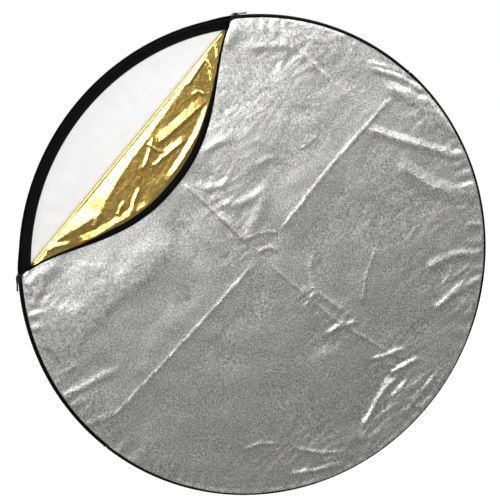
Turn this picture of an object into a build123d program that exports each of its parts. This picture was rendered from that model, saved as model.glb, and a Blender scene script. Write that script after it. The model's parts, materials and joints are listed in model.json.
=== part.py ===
"""Collapsible reflector disc: a translucent diffuser stretched on a sprung steel hoop, inside a zipped
two-panel cover. One corner of the cover's front panel is unzipped and folded back over itself.

Frame: the disc stands upright and faces -Y. The origin is the disc's centre, midway through the hoop's
width. Lengths are millimetres. Angles round the rim are degrees clockwise from +Z, seen from the front.
Rim sections are drawn as (radius, depth), with depth along +Y and so negative towards the front.
"""
from math import cos, degrees, radians, sin
import os

from build123d import *

os.makedirs("parts", exist_ok=True)

# ---- the disc ----
RIM_RADIUS = 550.0          # outside of the bound edge
FOLD_ANGLE = -49.4          # direction of the folded corner, and the middle of the zip
FOLD_DISTANCE = 398.0       # from the centre to the straight fold line

# ---- the sprung hoop, flat steel band on edge ----
BAND_OUTER = 543.0
BAND_THICK = 1.0
BAND_WIDTH = 5.0
BAND_GAP = 1.5              # between the two ends, inside the sleeve
SLEEVE_WALL = 0.35
SLEEVE_LENGTH = 36.0
RIVET_RADIUS = 1.2
RIVET_HEAD_RADIUS = 1.9
RIVET_HEAD_HEIGHT = 0.5
RIVET_HEAD_GAP = 0.01       # between a head and the sleeve's curved inside
RIVET_OFFSET = 9.0          # each side of the joint

# ---- the casing that holds the hoop, and the diffuser sewn into it ----
CASING_THICK = 0.45
CASING_INNER = 521.0
CASING_WALL = 543.75        # middle of the outer wall
CASING_HALF_DEPTH = 3.15
CASING_PINCH = 532.0        # inwards of this, the two legs lie on the diffuser
CASING_SHOULDER = 537.5
DIFFUSER_THICK = 0.25
DIFFUSER_RADIUS = 535.0

# ---- the cover's panels, two plies each ----
PLY_THICK = 0.3
PLY_INNER_FACE = 4.1        # depth of each panel's inner face from the hoop's middle
PANEL_FACE = PLY_INNER_FACE + 2 * PLY_THICK
PANEL_RADIUS_ZIP = 542.0
PANEL_RADIUS_BOUND = 548.5
PANEL_GAP = 0.3             # each side of the fold line, between the panel and the folded corner

# ---- edge binding, on the half with no zip ----
BINDING_THICK = 0.5
BINDING_LEG = 3.6
BOUND_START = 90.6          # from the zip's middle, each way
BOUND_HALF_SPAN = 180.0 - BOUND_START

# ---- the zip ----
ZIP_HALF_SPAN = 90.0
ZIP_CENTRE_RADIUS = 548.4
ZIP_ROLL = 20.0             # the chain faces this far forwards of straight out
TAPE_THICK = 0.5
TAPE_INNER = 532.0
TAPE_FLAT_END = 542.3       # where it leaves the panel and goes round the slider
TAPE_DEPTH = 3.85           # of the flat part, from the hoop's middle
TAPE_DROP = -0.75           # the tape lies this far below the chain's middle
FACING_INNER = 521.5
FACING_THICK = 0.35
COIL_WIDTH = 2.8
COIL_BOTTOM, COIL_TOP = -0.5, 1.5
COIL_MESHED = 0.05          # from the chain's middle to a closed half's edge
COIL_PARTED = 1.5           # the same, where the chain is open
OPEN_HALF_SPAN = 41.9       # where the open chain ends, from the zip's middle

# ---- the sliders ----
SLIDER_ANGLE = 43.3         # each way from the zip's middle
SLIDER_LENGTH = 17.0
SLIDER_HALF_WIDTH = 5.8
PLATE_THICK = 1.2
PLATE_BOTTOM = -2.6         # outer face of the lower plate, from the chain's middle
CHANNEL_FLOOR = PLATE_BOTTOM + PLATE_THICK
CHANNEL_ROOF = 1.8
PLATE_TOP = CHANNEL_ROOF + PLATE_THICK
FLANGE_BOTTOM = -0.1
FLANGE_THICK = 0.8
FLANGE_INSET = 0.3          # from the plates' sides
WEDGE_LENGTH = 4.2
WEDGE_HALF_WIDTH = 1.1
CROWN_WIDTH = 2.2
CROWN_HALF_LENGTH = 5.2
CROWN_THICK = 1.2
CROWN_HEIGHT = 4.4          # above the upper plate
PIVOT_HEIGHT = PLATE_TOP + 1.6

# ---- the pull tabs ----
TAB_LENGTH = 28.0           # from the pivot to the tip
TAB_THICK = 1.5
TAB_WIDTH = 8.4
TAB_WAIST = 5.6
TAB_BAR_RADIUS = 0.8
TAB_WINDOW_LENGTH = 7.0
TAB_WINDOW_WIDTH = 4.2
TAB_HOLE_RADIUS = 1.75
TAB_HOLE_FROM_TIP = 4.2
LEFT_TAB_HANG = 2.7         # outwards from the rim's line, so that the left tab hangs plumb

# ---- the fold ----
FOLD_CLEARANCE = 2.5        # from the front panel's face to the fold's axis
FOLD_DEPTH = -(PANEL_FACE + FOLD_CLEARANCE)
FOLD_OUT = (sin(radians(FOLD_ANGLE)), cos(radians(FOLD_ANGLE)))     # x and z of the way out to the corner
FOLD_AXIS = Axis(
    (FOLD_DISTANCE * FOLD_OUT[0], FOLD_DEPTH, FOLD_DISTANCE * FOLD_OUT[1]),
    (-FOLD_OUT[1], 0, FOLD_OUT[0]),
)

FAR = 700.0                 # half the side of a cutting block, past everything


def write(name, shape):
    """Writes one sub-part, named as its node."""
    shape.label = name
    export_step(shape, f"parts/{name}.step")


def ring(section, start, span):
    """Turns a closed (radius, depth) outline about the disc's axis, from angle start through span."""
    a = radians(start)
    plane = Plane(origin=(0, 0, 0), x_dir=(sin(a), 0, cos(a)), z_dir=(-cos(a), 0, sin(a)))
    face = make_face(Polyline(*section, close=True))
    return revolve(plane * face, axis=Axis.Y, revolution_arc=span)


def strip(line, thick):
    """The closed outline of a tape of that thickness along a line of (radius, depth) points, mitred."""
    points = [Vector(*p) for p in line]
    runs = [(b - a).normalized() for a, b in zip(points, points[1:])]
    sides = [Vector(-d.Y, d.X) for d in runs]
    left, right = [], []
    for i, p in enumerate(points):
        before, after = sides[max(i - 1, 0)], sides[min(i, len(sides) - 1)]
        mitre = (before + after).normalized()
        reach = thick / 2 / mitre.dot(after)
        left.append(p + mitre * reach)
        right.append(p - mitre * reach)
    return [(p.X, p.Y) for p in left + right[::-1]]


def block(r0, r1, y0, y1):
    """A rectangular section between two radii and two depths."""
    return [(r0, y0), (r1, y0), (r1, y1), (r0, y1)]


def disc(radius, y0, y1):
    """A flat round sheet between two depths."""
    return Solid.make_cylinder(radius, y1 - y0, Plane(origin=(0, y0, 0), z_dir=(0, 1, 0)))


def beyond(distance, outwards):
    """A block filling everything past the line at that distance along FOLD_OUT, or everything short of it."""
    shift = distance + FAR if outwards else distance - FAR
    centre = (shift * FOLD_OUT[0], 0, shift * FOLD_OUT[1])
    plane = Plane(origin=centre, x_dir=(FOLD_OUT[0], 0, FOLD_OUT[1]), z_dir=(0, 1, 0))
    return plane * Box(2 * FAR, 2 * FAR, 2 * FAR)


# ================= hoop =================

def hoop_joint_angle():
    """The band's ends meet straight across from the zip."""
    return FOLD_ANGLE + 180


def hoop_arc(length):
    """Degrees of rim that a length of band takes."""
    return degrees(length / BAND_OUTER)


def rivets(headed=True):
    """Two rivets through the band and its sleeve, flush outside and domed inside."""
    inner = BAND_OUTER - BAND_THICK - SLEEVE_WALL
    rivet = Solid.make_cylinder(RIVET_RADIUS, BAND_THICK + 2 * SLEEVE_WALL, Plane(origin=(0, 0, inner)))
    if headed:
        head = Plane(origin=(0, 0, inner - RIVET_HEAD_HEIGHT - RIVET_HEAD_GAP))
        neck = Solid.make_cylinder(RIVET_RADIUS, RIVET_HEAD_GAP, Plane(origin=(0, 0, inner - RIVET_HEAD_GAP)))
        rivet = rivet + neck + Solid.make_cone(RIVET_RADIUS, RIVET_HEAD_RADIUS, RIVET_HEAD_HEIGHT, head)
    turn = hoop_arc(RIVET_OFFSET)
    return Compound(children=[rivet.rotate(Axis.Y, hoop_joint_angle() + side * turn) for side in (-1, 1)])


def make_hoop_band():
    gap = hoop_arc(BAND_GAP)
    section = block(BAND_OUTER - BAND_THICK, BAND_OUTER, -BAND_WIDTH / 2, BAND_WIDTH / 2)
    return ring(section, hoop_joint_angle() + gap / 2, 360 - gap) - rivets(headed=False)


def make_sleeve():
    """A crimped steel tube over both ends of the band."""
    span = hoop_arc(SLEEVE_LENGTH)
    start = hoop_joint_angle() - span / 2
    r0, r1, half = BAND_OUTER - BAND_THICK, BAND_OUTER, BAND_WIDTH / 2
    tube = ring(block(r0 - SLEEVE_WALL, r1 + SLEEVE_WALL, -half - SLEEVE_WALL, half + SLEEVE_WALL), start, span)
    tube -= ring(block(r0, r1, -half, half), start - 1, span + 2)
    return tube - rivets(headed=False)


# ================= diffuser =================

def make_casing():
    """One tape folded round the hoop, with both legs sewn to the diffuser's edge."""
    leg = DIFFUSER_THICK / 2 + CASING_THICK / 2
    half = [
        (CASING_INNER, -leg),
        (CASING_PINCH, -leg),
        (CASING_SHOULDER, -CASING_HALF_DEPTH),
        (CASING_WALL, -CASING_HALF_DEPTH),
    ]
    line = half + [(r, -y) for r, y in reversed(half)]
    return ring(strip(line, CASING_THICK), 0, 360)


# ================= cover =================

def ply(y0, y1):
    """A whole ply between two depths: smaller on the zip's side, where the tape makes up the rest."""
    bound_half = disc(PANEL_RADIUS_BOUND, y0, y1) - beyond(0, outwards=True)
    return bound_half + disc(PANEL_RADIUS_ZIP, y0, y1)


def split_at_fold(shape):
    """The part of a front-panel shape that stays, and the part that folds, still in its closed place."""
    stays = shape - beyond(FOLD_DISTANCE - PANEL_GAP, outwards=True)
    folds = shape - beyond(FOLD_DISTANCE + PANEL_GAP, outwards=False)
    return stays, folds


def fold(shape):
    """Carries a shape from its zipped-up place to where it lies folded back."""
    return shape.rotate(FOLD_AXIS, 180)


def make_binding():
    """One tape folded over both panels' edges, round the half with no zip."""
    wall = RIM_RADIUS - BINDING_THICK / 2
    leg_depth = PANEL_FACE + 0.05 + BINDING_THICK / 2
    line = [
        (RIM_RADIUS - BINDING_LEG, -leg_depth),
        (wall, -leg_depth),
        (wall, leg_depth),
        (RIM_RADIUS - BINDING_LEG, leg_depth),
    ]
    start = FOLD_ANGLE + 180 - BOUND_HALF_SPAN
    return ring(strip(line, BINDING_THICK), start, 2 * BOUND_HALF_SPAN)


# ================= zip =================

def rolled(height, depth):
    """A point of the chain's own section, height outwards and depth across, as (radius, depth)."""
    c, s = cos(radians(ZIP_ROLL)), sin(radians(ZIP_ROLL))
    return (ZIP_CENTRE_RADIUS + height * c + depth * s, -height * s + depth * c)


def tape_section(front, meshed):
    """The zip tape: flat under the panel's edge, out round the slider's side, and in under the coil."""
    side = -1 if front else 1
    edge = (COIL_MESHED if meshed else COIL_PARTED) + 0.6
    if front:
        around = [(542.9, -4.6), (543.3, -5.5), (544.4, -6.1), rolled(TAPE_DROP, -6.7)]
    else:
        around = [(542.9, 4.6), (543.6, 6.0), (545.2, 7.2), (547.9, 7.75), rolled(TAPE_DROP, 7.2)]
    line = [
        (TAPE_INNER, side * TAPE_DEPTH),
        (TAPE_FLAT_END, side * TAPE_DEPTH),
        *around,
        rolled(TAPE_DROP, side * edge),
    ]
    return strip(line, TAPE_THICK)


def coil_section(front, meshed):
    """Half of the chain: the outline that the nylon coil fills."""
    side = -1 if front else 1
    near = COIL_MESHED if meshed else COIL_PARTED
    far = near + COIL_WIDTH
    return [
        rolled(COIL_BOTTOM, side * near),
        rolled(COIL_TOP, side * near),
        rolled(COIL_TOP, side * far),
        rolled(COIL_BOTTOM, side * far),
    ]


def facing_section(front):
    """Black facing over the panel's raw edge, on its inner side."""
    y0, y1 = PLY_INNER_FACE - FACING_THICK, PLY_INNER_FACE
    if front:
        y0, y1 = -y1, -y0
    return block(FACING_INNER, TAPE_INNER - 0.05, y0, y1)


JOIN_START = OPEN_HALF_SPAN + 1.05     # where a parted half turns in, behind the slider's wedge
JOIN_END = JOIN_START + 0.25            # and where it is in mesh


def closed_arc(side):
    """Start and span of the closed chain on one side of the opening, -1 left or 1 right."""
    span = ZIP_HALF_SPAN - JOIN_END
    start = FOLD_ANGLE + (JOIN_END if side > 0 else -ZIP_HALF_SPAN)
    return start, span


def make_back_coil():
    """The back half of the chain from end to end: closed, parted along the opening, and closed."""
    whole = ring(coil_section(False, False), FOLD_ANGLE - JOIN_START, 2 * JOIN_START)
    for side in (-1, 1):
        whole += ring(coil_section(False, True), *closed_arc(side))
        join = FOLD_ANGLE + (JOIN_START if side > 0 else -JOIN_END)
        whole += ring(coil_join_section(), join, JOIN_END - JOIN_START)
    return whole


def coil_join_section():
    """The outline that covers a half both parted and in mesh."""
    return [
        rolled(COIL_BOTTOM, COIL_MESHED),
        rolled(COIL_TOP, COIL_MESHED),
        rolled(COIL_TOP, COIL_PARTED + COIL_WIDTH),
        rolled(COIL_BOTTOM, COIL_PARTED + COIL_WIDTH),
    ]


def make_end_stop(side):
    """A staple over the chain's end, with a leg down each side of it."""
    half = COIL_MESHED + COIL_WIDTH + 0.1
    outline = [
        (COIL_TOP + 0.7, -half - 0.6), (COIL_TOP + 0.7, half + 0.6),
        (COIL_BOTTOM + 0.1, half + 0.6), (COIL_BOTTOM + 0.1, half),
        (COIL_TOP + 0.05, half), (COIL_TOP + 0.05, -half),
        (COIL_BOTTOM + 0.1, -half), (COIL_BOTTOM + 0.1, -half - 0.6),
    ]
    span = 0.32
    start = FOLD_ANGLE + side * (ZIP_HALF_SPAN - 0.6) - span / 2
    return ring([rolled(h, d) for h, d in outline], start, span)


# ================= sliders and pulls =================
# Each is built at the top of the rim with X along the zip, its nose towards -X, and the chain's middle at
# the origin, then rolled, lifted to the chain and turned to its place.

def place(shape, side, mirrored=True):
    """Puts a slider's piece on the rim: side -1 is the left one, whose nose points the other way."""
    if side < 0 and mirrored:
        shape = shape.mirror(Plane.YZ)
    shape = shape.rotate(Axis.X, ZIP_ROLL)
    shape = shape.translate((0, 0, ZIP_CENTRE_RADIUS))
    return shape.rotate(Axis.Y, FOLD_ANGLE + side * SLIDER_ANGLE)


def slider_plan(height, thick):
    """The shield-shaped outline of a slider's plate."""
    half, long = SLIDER_HALF_WIDTH, SLIDER_LENGTH / 2
    outline = Polyline(
        (-long, -half + 1.2), (-long + 1.4, -half), (long - 1.6, -half + 0.3), (long, -half + 1.5),
        (long, half - 1.5), (long - 1.6, half - 0.3), (-long + 1.4, half), (-long, half - 1.2), close=True)
    plate = extrude(make_face(outline), thick)
    return plate.translate((0, 0, height))


def make_slider_body():
    """Two plates joined by the wedge that parts the chain, with flanges that hold the coils in."""
    body = slider_plan(PLATE_BOTTOM, PLATE_THICK) + slider_plan(CHANNEL_ROOF, PLATE_THICK)
    nose = -SLIDER_LENGTH / 2
    wedge = Polyline((nose, -WEDGE_HALF_WIDTH * 0.6), (nose + 1.2, -WEDGE_HALF_WIDTH),
                     (nose + WEDGE_LENGTH, 0), (nose + 1.2, WEDGE_HALF_WIDTH),
                     (nose, WEDGE_HALF_WIDTH * 0.6), close=True)
    post = extrude(make_face(wedge), CHANNEL_ROOF - CHANNEL_FLOOR + 0.4)
    body += post.translate((0, 0, CHANNEL_FLOOR - 0.2))
    length = SLIDER_LENGTH - 3.2
    height = CHANNEL_ROOF - FLANGE_BOTTOM
    for side in (-1, 1):
        flange = Box(length, FLANGE_THICK, height + 0.2)
        across = side * (SLIDER_HALF_WIDTH - FLANGE_INSET - FLANGE_THICK / 2)
        body += flange.translate((0, across, FLANGE_BOTTOM + (height + 0.2) / 2))
    return body


def make_crown():
    """The bail over the slider that the pull tab hangs from."""
    long, top, t = CROWN_HALF_LENGTH, PLATE_TOP + CROWN_HEIGHT, CROWN_THICK
    arch = Polyline(
        (-long, PLATE_TOP), (-long, top - 1.4), (-long + 1.4, top), (long - 1.4, top), (long, top - 1.4),
        (long, PLATE_TOP), (long - t, PLATE_TOP), (long - t, top - 1.9), (long - 1.9, top - t),
        (-long + 1.9, top - t), (-long + t, top - 1.9), (-long + t, PLATE_TOP), close=True)
    face = Plane(origin=(0, CROWN_WIDTH / 2, 0), x_dir=(1, 0, 0), z_dir=(0, -1, 0)) * make_face(arch)
    return extrude(face, CROWN_WIDTH)


def make_tab():
    """The pull tab, lying back along +X from its bar, at the pivot's height."""
    wide, waist, tip = TAB_WIDTH / 2, TAB_WAIST / 2, TAB_LENGTH
    neck = TAB_WINDOW_LENGTH + 2.0
    outline = Polyline(
        (-TAB_BAR_RADIUS, -wide + 0.8), (0.2, -wide), (neck - 1.5, -wide), (neck + 1.5, -waist),
        (tip - 6.5, -waist), (tip - 4.0, -wide + 0.4), (tip - 1.2, -wide + 0.9), (tip, -wide + 2.4),
        (tip, wide - 2.4), (tip - 1.2, wide - 0.9), (tip - 4.0, wide - 0.4), (tip - 6.5, waist),
        (neck + 1.5, waist), (neck - 1.5, wide), (0.2, wide), (-TAB_BAR_RADIUS, wide - 0.8), close=True)
    tab = extrude(make_face(outline), TAB_THICK / 2, both=True)
    window = Box(TAB_WINDOW_LENGTH - TAB_BAR_RADIUS, TAB_WINDOW_WIDTH, TAB_THICK * 2)
    tab -= window.translate((TAB_BAR_RADIUS + (TAB_WINDOW_LENGTH - TAB_BAR_RADIUS) / 2, 0, 0))
    hole = Cylinder(TAB_HOLE_RADIUS, TAB_THICK * 2)
    tab -= hole.translate((tip - TAB_HOLE_FROM_TIP, 0, 0))
    bar = Cylinder(TAB_BAR_RADIUS, TAB_WINDOW_WIDTH + 0.6).rotate(Axis.X, 90)
    slot = Box(TAB_BAR_RADIUS * 2.2, TAB_WINDOW_WIDTH, TAB_THICK * 2)
    return (tab - slot) + bar


def place_tab(side):
    tab = make_tab()
    if side < 0:
        tab = tab.rotate(Axis.Y, -LEFT_TAB_HANG)
    return place(tab.translate((0, 0, PIVOT_HEIGHT)), side)


# ================= write every sub-part =================

write("hoop_band", make_hoop_band())
write("hoop_splice_sleeve", make_sleeve())
write("hoop_splice_rivets", rivets())
write("hoop_casing", make_casing())
write("diffuser_fabric", disc(DIFFUSER_RADIUS, -DIFFUSER_THICK / 2, DIFFUSER_THICK / 2))

gold_stays, gold_folds = split_at_fold(ply(-PLY_INNER_FACE - PLY_THICK, -PLY_INNER_FACE))
silver_stays, silver_folds = split_at_fold(ply(-PANEL_FACE, -PANEL_FACE + PLY_THICK))
write("front_ply_silver", silver_stays)
write("front_ply_gold", gold_stays)
write("corner_ply_silver", fold(silver_folds))
write("corner_ply_gold", fold(gold_folds))
write("back_ply_white", ply(PLY_INNER_FACE, PLY_INNER_FACE + PLY_THICK))
write("back_ply_black", ply(PANEL_FACE - PLY_THICK, PANEL_FACE))
write("edge_binding", make_binding())

write("back_zip_facing", ring(facing_section(False), FOLD_ANGLE - ZIP_HALF_SPAN, 2 * ZIP_HALF_SPAN))
write("back_zip_tape", ring(tape_section(False, False), FOLD_ANGLE - ZIP_HALF_SPAN, 2 * ZIP_HALF_SPAN))
write("back_zip_coil", make_back_coil())

for side, label in ((-1, "left"), (1, "top")):
    arc = closed_arc(side)
    write(f"{label}_front_zip_tape", ring(tape_section(True, True), *arc))
    write(f"{label}_front_zip_coil", ring(coil_section(True, True), *arc))
    write(f"{label}_front_zip_facing", ring(facing_section(True), *arc))
    write(f"{label}_zip_end_stop", make_end_stop(side))
    write(f"{label}_slider_body", place(make_slider_body(), side))
    write(f"{label}_slider_crown", place(make_crown(), side))
    write(f"{label}_pull_tab", place_tab(side))

corner_arc = FOLD_ANGLE - OPEN_HALF_SPAN, 2 * OPEN_HALF_SPAN
for name, section in (
    ("corner_zip_tape", tape_section(True, False)),
    ("corner_zip_coil", coil_section(True, False)),
    ("corner_zip_facing", facing_section(True)),
):
    write(name, fold(split_at_fold(ring(section, *corner_arc))[1]))
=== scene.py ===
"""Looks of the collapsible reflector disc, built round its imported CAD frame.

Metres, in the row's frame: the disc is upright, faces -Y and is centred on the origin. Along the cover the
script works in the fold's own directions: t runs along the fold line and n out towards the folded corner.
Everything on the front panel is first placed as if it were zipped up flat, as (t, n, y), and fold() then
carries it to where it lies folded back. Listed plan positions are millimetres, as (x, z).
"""
import json
import math

import bpy
import numpy as np
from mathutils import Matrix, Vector, noise
from mathutils.geometry import delaunay_2d_cdt


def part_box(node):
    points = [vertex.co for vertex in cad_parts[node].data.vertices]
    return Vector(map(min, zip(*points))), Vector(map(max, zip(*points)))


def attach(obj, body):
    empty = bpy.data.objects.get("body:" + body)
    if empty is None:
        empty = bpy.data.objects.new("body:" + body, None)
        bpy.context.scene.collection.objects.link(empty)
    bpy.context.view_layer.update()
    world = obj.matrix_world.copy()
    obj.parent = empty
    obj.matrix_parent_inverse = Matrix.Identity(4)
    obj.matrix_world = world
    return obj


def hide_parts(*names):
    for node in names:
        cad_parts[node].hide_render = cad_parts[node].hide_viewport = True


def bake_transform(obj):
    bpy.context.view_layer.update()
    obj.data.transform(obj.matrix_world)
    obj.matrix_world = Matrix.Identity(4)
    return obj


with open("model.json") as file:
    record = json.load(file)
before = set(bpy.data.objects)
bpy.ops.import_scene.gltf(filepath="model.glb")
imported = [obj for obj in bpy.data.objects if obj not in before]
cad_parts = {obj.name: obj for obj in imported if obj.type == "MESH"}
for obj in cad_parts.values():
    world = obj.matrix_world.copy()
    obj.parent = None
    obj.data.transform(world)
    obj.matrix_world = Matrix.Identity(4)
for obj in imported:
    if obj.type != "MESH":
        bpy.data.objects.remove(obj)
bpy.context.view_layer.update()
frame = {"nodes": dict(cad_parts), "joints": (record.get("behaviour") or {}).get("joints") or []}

MM = 0.001
SEED = 7

# ---- places, from the frame ----
hinge = next(j for j in frame["joints"] if j["name"] == "corner_fold")
HINGE = Vector(hinge["pos_m"])
ALONG = -Vector(hinge["axis"]).normalized()
OUT = Vector((HINGE.x, 0, HINGE.z)).normalized()
FOLD = Vector((HINGE.x, 0, HINGE.z)).length         # from the disc's centre to the fold line
FOLD_Y = HINGE.y

SILVER_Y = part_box("front_ply_silver")[0][1]         # the front panel's outer face
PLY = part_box("front_ply_silver")[1][1] - SILVER_Y
BACK_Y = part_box("back_ply_black")[1][1]
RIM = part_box("edge_binding")[1][0]                  # outside of the bound edge
PLY_ZIP_R = 542 * MM                                # the panels' radius on the zip's side
PLY_BOUND_R = RIM - 1.5 * MM                        # and inside the binding
DIFFUSER_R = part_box("diffuser_fabric")[1][0]
TAPE_INNER = 532 * MM                               # the zip tapes' edge on the panels
ZIP_HALF_SPAN = math.radians(90)                    # each way from the zip's middle
CHAIN_R = 548.4 * MM
CHAIN_ROLL = math.radians(20)                       # how far the chain's section is rolled to the front


# ================= mesh helpers =================

def mesh_object(name, points, faces):
    mesh = bpy.data.meshes.new(name)
    mesh.from_pydata([tuple(p) for p in points], [], [tuple(f) for f in faces])
    mesh.validate()
    mesh.update()
    mesh.shade_smooth()
    obj = bpy.data.objects.new(name, mesh)
    bpy.context.scene.collection.objects.link(obj)
    return obj


def finish_piece(obj, body, slot, material, replaces=()):
    """The lines every piece needs: what it rides on, what it stands for and what it is made of. A piece
    given two Y instead of a body is only baked in place and rides on nothing.
    """
    obj.data.materials.append(material)
    if isinstance(body, str):
        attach(obj, body)
    else:
        start, end = body
        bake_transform(obj)
    if replaces:
        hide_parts(*replaces)


def plan(t, n):
    """Row-frame x and z of a place given along and out from the fold's directions."""
    return t * ALONG.x + n * OUT.x, t * ALONG.z + n * OUT.z


def tn(x, z):
    """The other way: t and n of a row-frame place."""
    return x * ALONG.x + z * ALONG.z, x * OUT.x + z * OUT.z


def polar(angle, radius):
    """t and n of a rim place, by its angle from the zip's middle, clockwise."""
    return radius * np.sin(angle), radius * np.cos(angle)


def smooth(a):
    """An S-shaped step from 0 to 1."""
    a = np.clip(a, 0, 1)
    return a * a * (3 - 2 * a)


# ================= the fold =================
ROLL_REACH = 3.0 * MM        # of cloth each side of the fold line that goes into the roll
DRAWN_IN = 1.15              # how far the zip's stiffness draws the folded corner's ends in
SLACK = 0.93                 # of the corner's width is left at its middle
NARROWED = 0.57              # of the tape's width is taken up towards the corner's ends
WIDE_SHIFT = 12 * MM         # the part left wide is this far from the fold's middle
CLOTH_PULL_FROM = 0.500      # radius from which the cloth follows the narrowed tape
CHORD = math.sqrt(CHAIN_R ** 2 - FOLD ** 2)


def drawn(t, n):
    """How far out a place ends up from the fold line, as the stiff zip draws the corner and its tape in."""
    u = np.abs(t + WIDE_SHIFT) / CHORD
    out = smooth((n - FOLD) / (8 * MM))
    band = 1 - NARROWED * smooth((u - 0.38) / 0.36) * out
    r = np.hypot(t, n)
    pull = smooth((r - CLOTH_PULL_FROM) / 0.032)
    at_cloth = r + pull * (CHAIN_R - TAPE_INNER) * (1 - band)
    at_tape = CHAIN_R - (CHAIN_R - r) * band
    m = n * np.where(r < TAPE_INNER, at_cloth, at_tape) / r - FOLD
    share = SLACK * (1 - DRAWN_IN * np.clip(np.abs(t) / CHORD - 0.03, 0, 1) ** 2.5)
    share = 1 - (1 - np.clip(share, 0.05, 1)) * smooth((n - FOLD) / (3 * MM))
    return np.where(m > 0, m * share, n - FOLD)


def fold(t, n, y):
    """Where a zipped-up place of the front panel lies with the corner folded back."""
    m = drawn(t, n)
    turn = math.pi * np.clip((m + ROLL_REACH) / (2 * ROLL_REACH), 0, 1)
    depth = y - FOLD_Y
    n_out = FOLD + m * np.cos(turn) + depth * np.sin(turn)
    y_out = FOLD_Y + depth * np.cos(turn) - m * np.sin(turn)
    x, z = plan(t, n_out)
    return np.stack([x, y_out, z], axis=1)


# ================= wrinkles =================
# (width, height, reach, slope height, points): sharp creases left by packing the disc away, each with the
# flat-sided roof it tops
CREASES = [
    (3.0, 1.0, 65, 1.3, [(325, 375), (180, 220), (70, 90), (40, 50)]),
    (3.0, 0.8, 60, 1.0, [(5, 5), (-40, -40), (-140, -145), (-265, -270), (-340, -345), (-395, -365)]),
    (2.0, 1.1, 30, 0.6, [(-180, 178), (-110, 112), (-26, 30)]),
    (2.5, 1.0, 50, 0.9, [(5, 5), (45, -35), (180, -150), (315, -235), (380, -260)]),
    (2.0, 1.0, 18, 0.5, [(-222, 42), (-203, -3), (-165, -92)]),
    (2.0, 0.9, 22, 0.5, [(-122, -205), (-75, -300), (-40, -405)]),
    (2.5, 0.7, 40, 0.7, [(280, 20), (255, -50), (245, -120)]),
    (2.5, 0.15, 40, 0.4, [(245, 335), (170, 395), (55, 500)]),
    (2.5, 0.7, 20, 0.4, [(-40, 45), (15, 60), (45, 55)]),
    (2.5, 0.6, 20, 0.4, [(95, 245), (135, 275)]),
    (4.0, 0.2, 110, 2.6, [(-190, 60), (-340, -72), (-509, -186)]),
    (3.0, 0.2, 45, 1.6, [(150, -205), (180, -337), (250, -450)]),
    (3.0, -0.2, 40, -1.5, [(225, -425), (270, -348), (316, -290), (370, -262)]),
    (2.5, 0.2, 14, 1.5, [(246, -415), (287, -345), (332, -292)]),
    (2.5, 0.3, 16, 1.6, [(240, 294), (333, 263), (431, 234), (560, 205)]),
    (2.5, 0.2, 18, 1.9, [(290, 390), (380, 350), (440, 305), (500, 257)]),
    (2.5, 0.2, 9, 1.1, [(258, 428), (331, 405), (430, 355)]),
    (2.5, 0.2, 7, 0.8, [(240, 445), (320, 425), (400, 395)]),
    (3.0, 0.2, 26, 2.2, [(320, 210), (407, 155), (470, 135), (560, 140)]),
    (2.5, 0.2, 8, 1.0, [(500, 62), (530, 60), (560, 66)]),
    (2.5, 0.3, 14, 1.7, [(400, -38), (460, -12), (560, 0)]),
    (2.5, 0.3, 13, 1.8, [(420, -140), (481, -91), (560, -58)]),
    (2.5, 0.2, 8, 1.0, [(505, -165), (525, -120), (550, -95)]),
]
# (width, height, points): soft puckers and pleats
PUCKERS = [
    (6, 0.7, [(240, 435), (330, 410), (360, 405)]),
    (7, 0.7, [(135, 40), (120, -25), (135, -85), (225, -150)]),
    (6, 0.7, [(240, -425), (285, -343), (329, -288), (380, -250)]),
    (5, 1.4, [(150, -186), (195, -162), (240, -158)]),
    (4, 0.8, [(105, -115), (125, -95), (130, -80)]),
    (4, 1.1, [(255, -249), (300, -240), (355, -222)]),
    (5, 1.3, [(285, -325), (326, -279), (395, -244)]),
    (4, 0.8, [(300, -255), (340, -270), (375, -245)]),
    (6, 0.9, [(-535, -48), (-515, -30), (-500, -8)]),
    (7, 0.9, [(-530, -85), (-508, -62), (-490, -30)]),
    (4, 0.8, [(-15, 10), (20, 25), (50, 12)]),
    (4, 0.7, [(-50, -445), (0, -430), (55, -434)]),
    (4, 0.8, [(70, -442), (145, -462), (215, -462)]),
    (5, 1.2, [(60, -508), (130, -503), (215, -488)]),
    (5, 1.2, [(345, -388), (395, -330), (450, -268)]),
    (5, 1.2, [(368, -402), (420, -345), (475, -262)]),
    (9, 0.8, [(-455, -300), (-380, -260), (-310, -230)]),
    (8, 0.7, [(-520, -182), (-455, -175), (-420, -165)]),
    (7, 0.6, [(-495, -250), (-440, -235), (-415, -225)]),
    (7, 0.7, [(-420, -370), (-365, -350), (-330, -330)]),
    (6, 0.5, [(-390, -385), (-350, -395)]),
    (26, 1.6, [(-505, -195), (-410, -125), (-295, -30), (-200, 60)]),
    (18, 1.3, [(-535, -70), (-495, -20), (-450, 15)]),
    (14, 1.2, [(-85, 470), (-66, 505), (-50, 535)]),
    (9, 0.8, [(-45, 475), (30, 478), (95, 490)]),
    (8, 0.8, [(15, 535), (55, 500), (115, 440), (170, 395)]),
    (6, 0.6, [(50, 507), (100, 500), (160, 485)]),
    (6, 0.6, [(70, 533), (100, 520), (135, 498)]),
    (9, 0.9, [(-145, 240), (-110, 258), (-55, 280)]),
    (8, 0.9, [(-155, 178), (-125, 162), (-90, 168), (-60, 190)]),
    (9, 0.9, [(-112, 138), (-65, 120), (-15, 140), (25, 175)]),
    (7, 0.7, [(-100, 102), (-75, 85), (-50, 66)]),
    (16, 1.0, [(20, 170), (0, 110), (-35, 45)]),
    (7, 0.6, [(-20, 205), (15, 225), (50, 230)]),
]
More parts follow.
